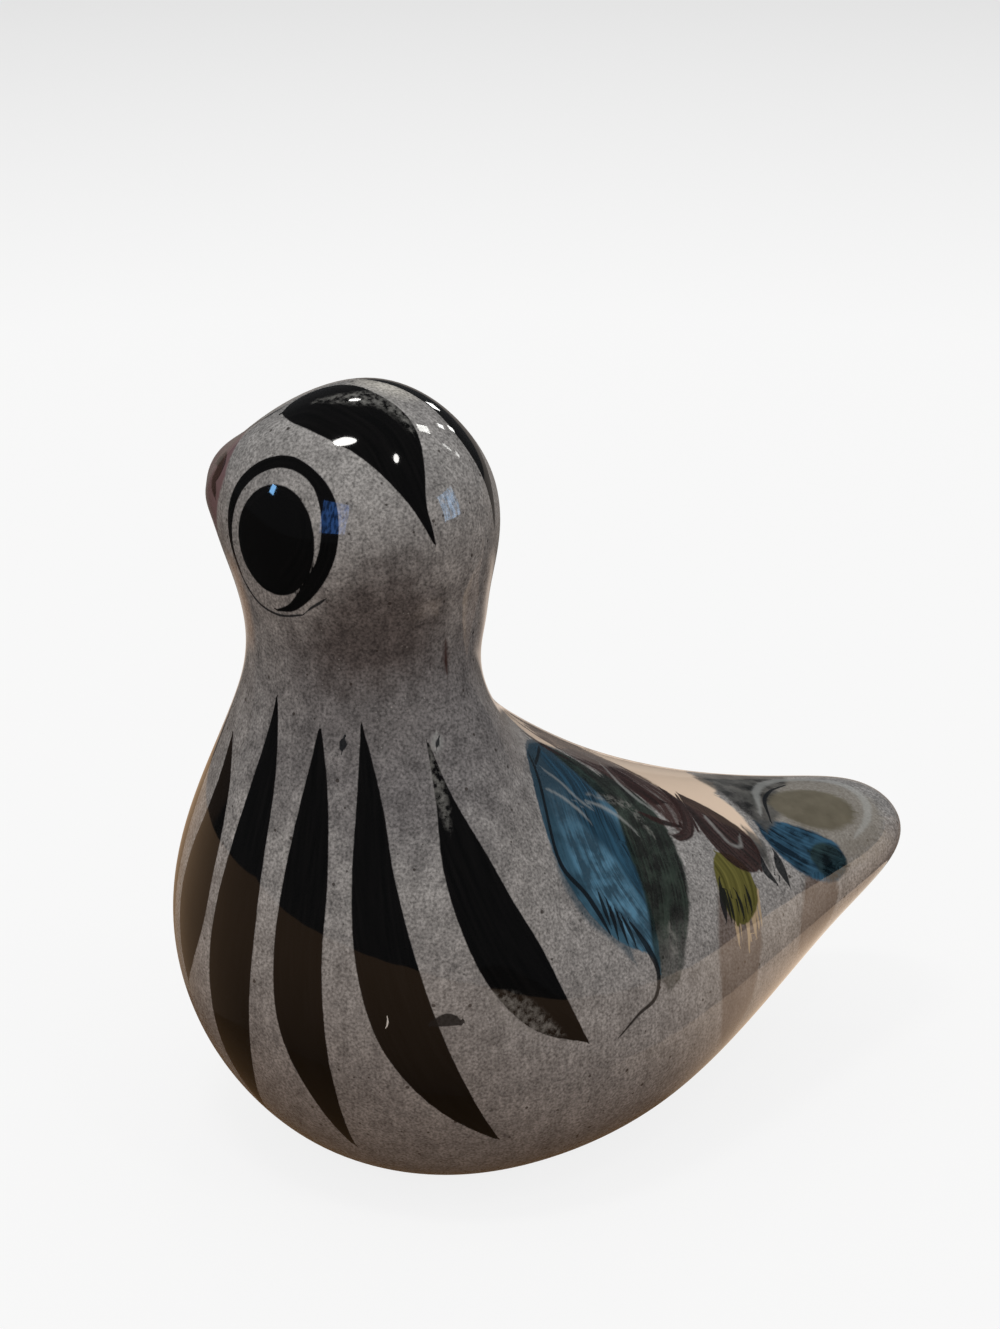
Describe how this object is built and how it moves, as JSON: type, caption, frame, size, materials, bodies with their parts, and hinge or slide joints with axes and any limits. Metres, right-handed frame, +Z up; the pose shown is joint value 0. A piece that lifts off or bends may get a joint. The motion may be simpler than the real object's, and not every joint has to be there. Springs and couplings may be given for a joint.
{
  "type": "ceramic bird figurine",
  "caption": "Small hand-painted glazed ceramic dove with a round breast, a turned head and a short raised tail, sitting on a flat foot.",
  "frame": {"origin": "middle of the flat foot, on the surface it stands on", "axes": "+X towards the breast, +Y towards the bird's left, +Z up"},
  "size_m": [0.0917, 0.0598, 0.0891],
  "materials": {
    "painted_glaze": "gloss"
  },
  "bodies": {
    "root": {"dove": "painted_glaze"}
  },
  "joints": []
}
